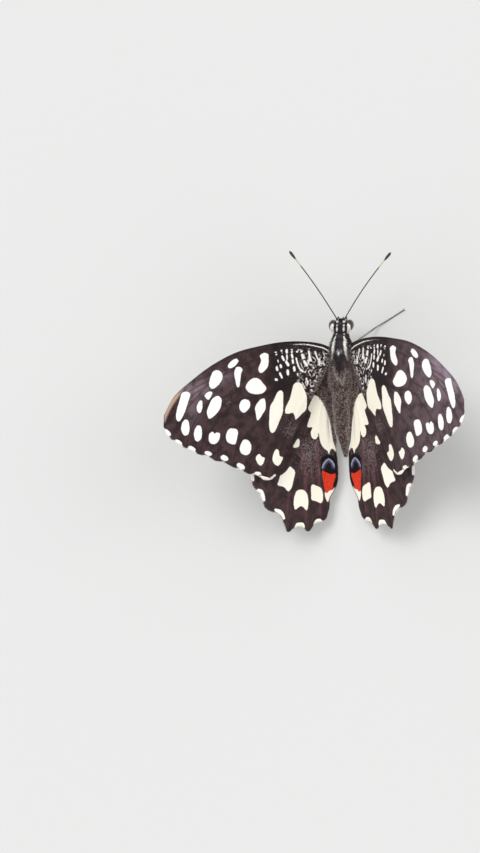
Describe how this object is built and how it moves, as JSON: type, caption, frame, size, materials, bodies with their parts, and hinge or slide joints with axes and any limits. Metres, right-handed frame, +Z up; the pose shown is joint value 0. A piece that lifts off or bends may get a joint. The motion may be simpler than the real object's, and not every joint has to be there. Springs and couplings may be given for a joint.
{
  "type": "lime swallowtail butterfly model",
  "caption": "Life-size still model of a tailless lime swallowtail butterfly, standing on its feet with its chequered wings raised in a V.",
  "frame": {"origin": "on the surface that the six feet stand on, under the middle of the model's box", "axes": "+X to the butterfly's right across the spread wings, +Y forward to the head and feelers, +Z up"},
  "size_m": [0.0618, 0.0596, 0.0396],
  "materials": {
    "body_hair": "dense grey-brown hair with cream stripes, soft and matt",
    "wing_scales": "overlapping black-brown wing scales with cream spots, matt with a faint sheen",
    "eye": "dark compound eye, smooth and glossy",
    "antenna": "ringed black-brown shaft with a pale band below the club",
    "palp": "cream hair-like scales",
    "tongue": "dark brown ridged tube, coiled",
    "leg": "brown horn with short spines and pale scales"
  },
  "bodies": {
    "root": {"abdomen": "body_hair", "antenna_left": "antenna", "antenna_right": "antenna", "eye_left": "eye", "eye_right": "eye", "forewing_left": "wing_scales", "forewing_right": "wing_scales", "head": "body_hair", "hindwing_left": "wing_scales", "hindwing_right": "wing_scales", "leg_fore_left_coxa": "leg", "leg_fore_left_femur": "leg", "leg_fore_left_tarsus": "leg", "leg_fore_left_tibia": "leg", "leg_fore_right_coxa": "leg", "leg_fore_right_femur": "leg", "leg_fore_right_tarsus": "leg", "leg_fore_right_tibia": "leg", "leg_hind_left_coxa": "leg", "leg_hind_left_femur": "leg", "leg_hind_left_tarsus": "leg", "leg_hind_left_tibia": "leg", "leg_hind_right_coxa": "leg", "leg_hind_right_femur": "leg", "leg_hind_right_tarsus": "leg", "leg_hind_right_tibia": "leg", "leg_mid_left_coxa": "leg", "leg_mid_left_femur": "leg", "leg_mid_left_tarsus": "leg", "leg_mid_left_tibia": "leg", "leg_mid_right_coxa": "leg", "leg_mid_right_femur": "leg", "leg_mid_right_tarsus": "leg", "leg_mid_right_tibia": "leg", "palp_left": "palp", "palp_right": "palp", "proboscis": "tongue", "prothorax": "body_hair", "thorax": "body_hair"}
  },
  "joints": []
}
